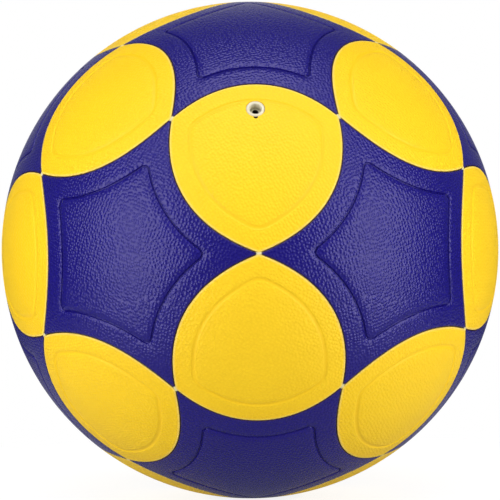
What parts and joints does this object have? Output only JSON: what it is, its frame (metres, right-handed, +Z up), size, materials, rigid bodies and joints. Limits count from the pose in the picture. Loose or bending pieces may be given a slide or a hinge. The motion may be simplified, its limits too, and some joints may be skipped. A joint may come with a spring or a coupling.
{
  "type": "korfball ball",
  "caption": "Inflatable bonded ball with curved yellow and blue leather panels over a rubber carcass, a thread winding and a bladder, with a needle valve.",
  "frame": {"origin": "centre of the ball", "axes": "+Z up as pictured; four panels meet on each axis; the valve lies in the plane x = 0, 32 degrees above the -Y axis"},
  "size_m": [0.22, 0.22, 0.22],
  "materials": {
    "yellow_leather": "pebbled synthetic leather, satin",
    "blue_leather": "pebbled synthetic leather, satin with a soft sheen",
    "carcass_rubber": "matt moulded rubber",
    "nylon_winding": "wound thread set in latex",
    "bladder_butyl": "smooth butyl",
    "valve_rubber": "smooth pale rubber",
    "insert_rubber": "smooth grey rubber"
  },
  "bodies": {
    "ball": {"bladder": "bladder_butyl", "winding": "nylon_winding", "carcass": "carcass_rubber", "valve_housing": "valve_rubber", "yellow_panel_valve": "yellow_leather", "yellow_panel_01": "yellow_leather", "yellow_panel_02": "yellow_leather", "yellow_panel_03": "yellow_leather", "yellow_panel_04": "yellow_leather", "yellow_panel_05": "yellow_leather", "yellow_panel_06": "yellow_leather", "yellow_panel_07": "yellow_leather", "yellow_panel_08": "yellow_leather", "yellow_panel_09": "yellow_leather", "yellow_panel_10": "yellow_leather", "yellow_panel_11": "yellow_leather", "yellow_panel_12": "yellow_leather", "yellow_panel_13": "yellow_leather", "yellow_panel_14": "yellow_leather", "yellow_panel_15": "yellow_leather", "yellow_panel_16": "yellow_leather", "yellow_panel_17": "yellow_leather", "yellow_panel_18": "yellow_leather", "yellow_panel_19": "yellow_leather", "blue_panel_01": "blue_leather", "blue_panel_02": "blue_leather", "blue_panel_03": "blue_leather", "blue_panel_04": "blue_leather", "blue_panel_05": "blue_leather", "blue_panel_06": "blue_leather", "blue_panel_07": "blue_leather", "blue_panel_08": "blue_leather", "blue_panel_09": "blue_leather", "blue_panel_10": "blue_leather", "blue_panel_11": "blue_leather", "blue_panel_12": "blue_leather"},
    "insert": {"valve_insert": "insert_rubber"}
  },
  "joints": [
    {"name": "insert_slide", "type": "slide", "parent": "ball", "child": "insert", "axis": [0, -0.848, 0.5299], "range_m": [0, 0.02]}
  ]
}
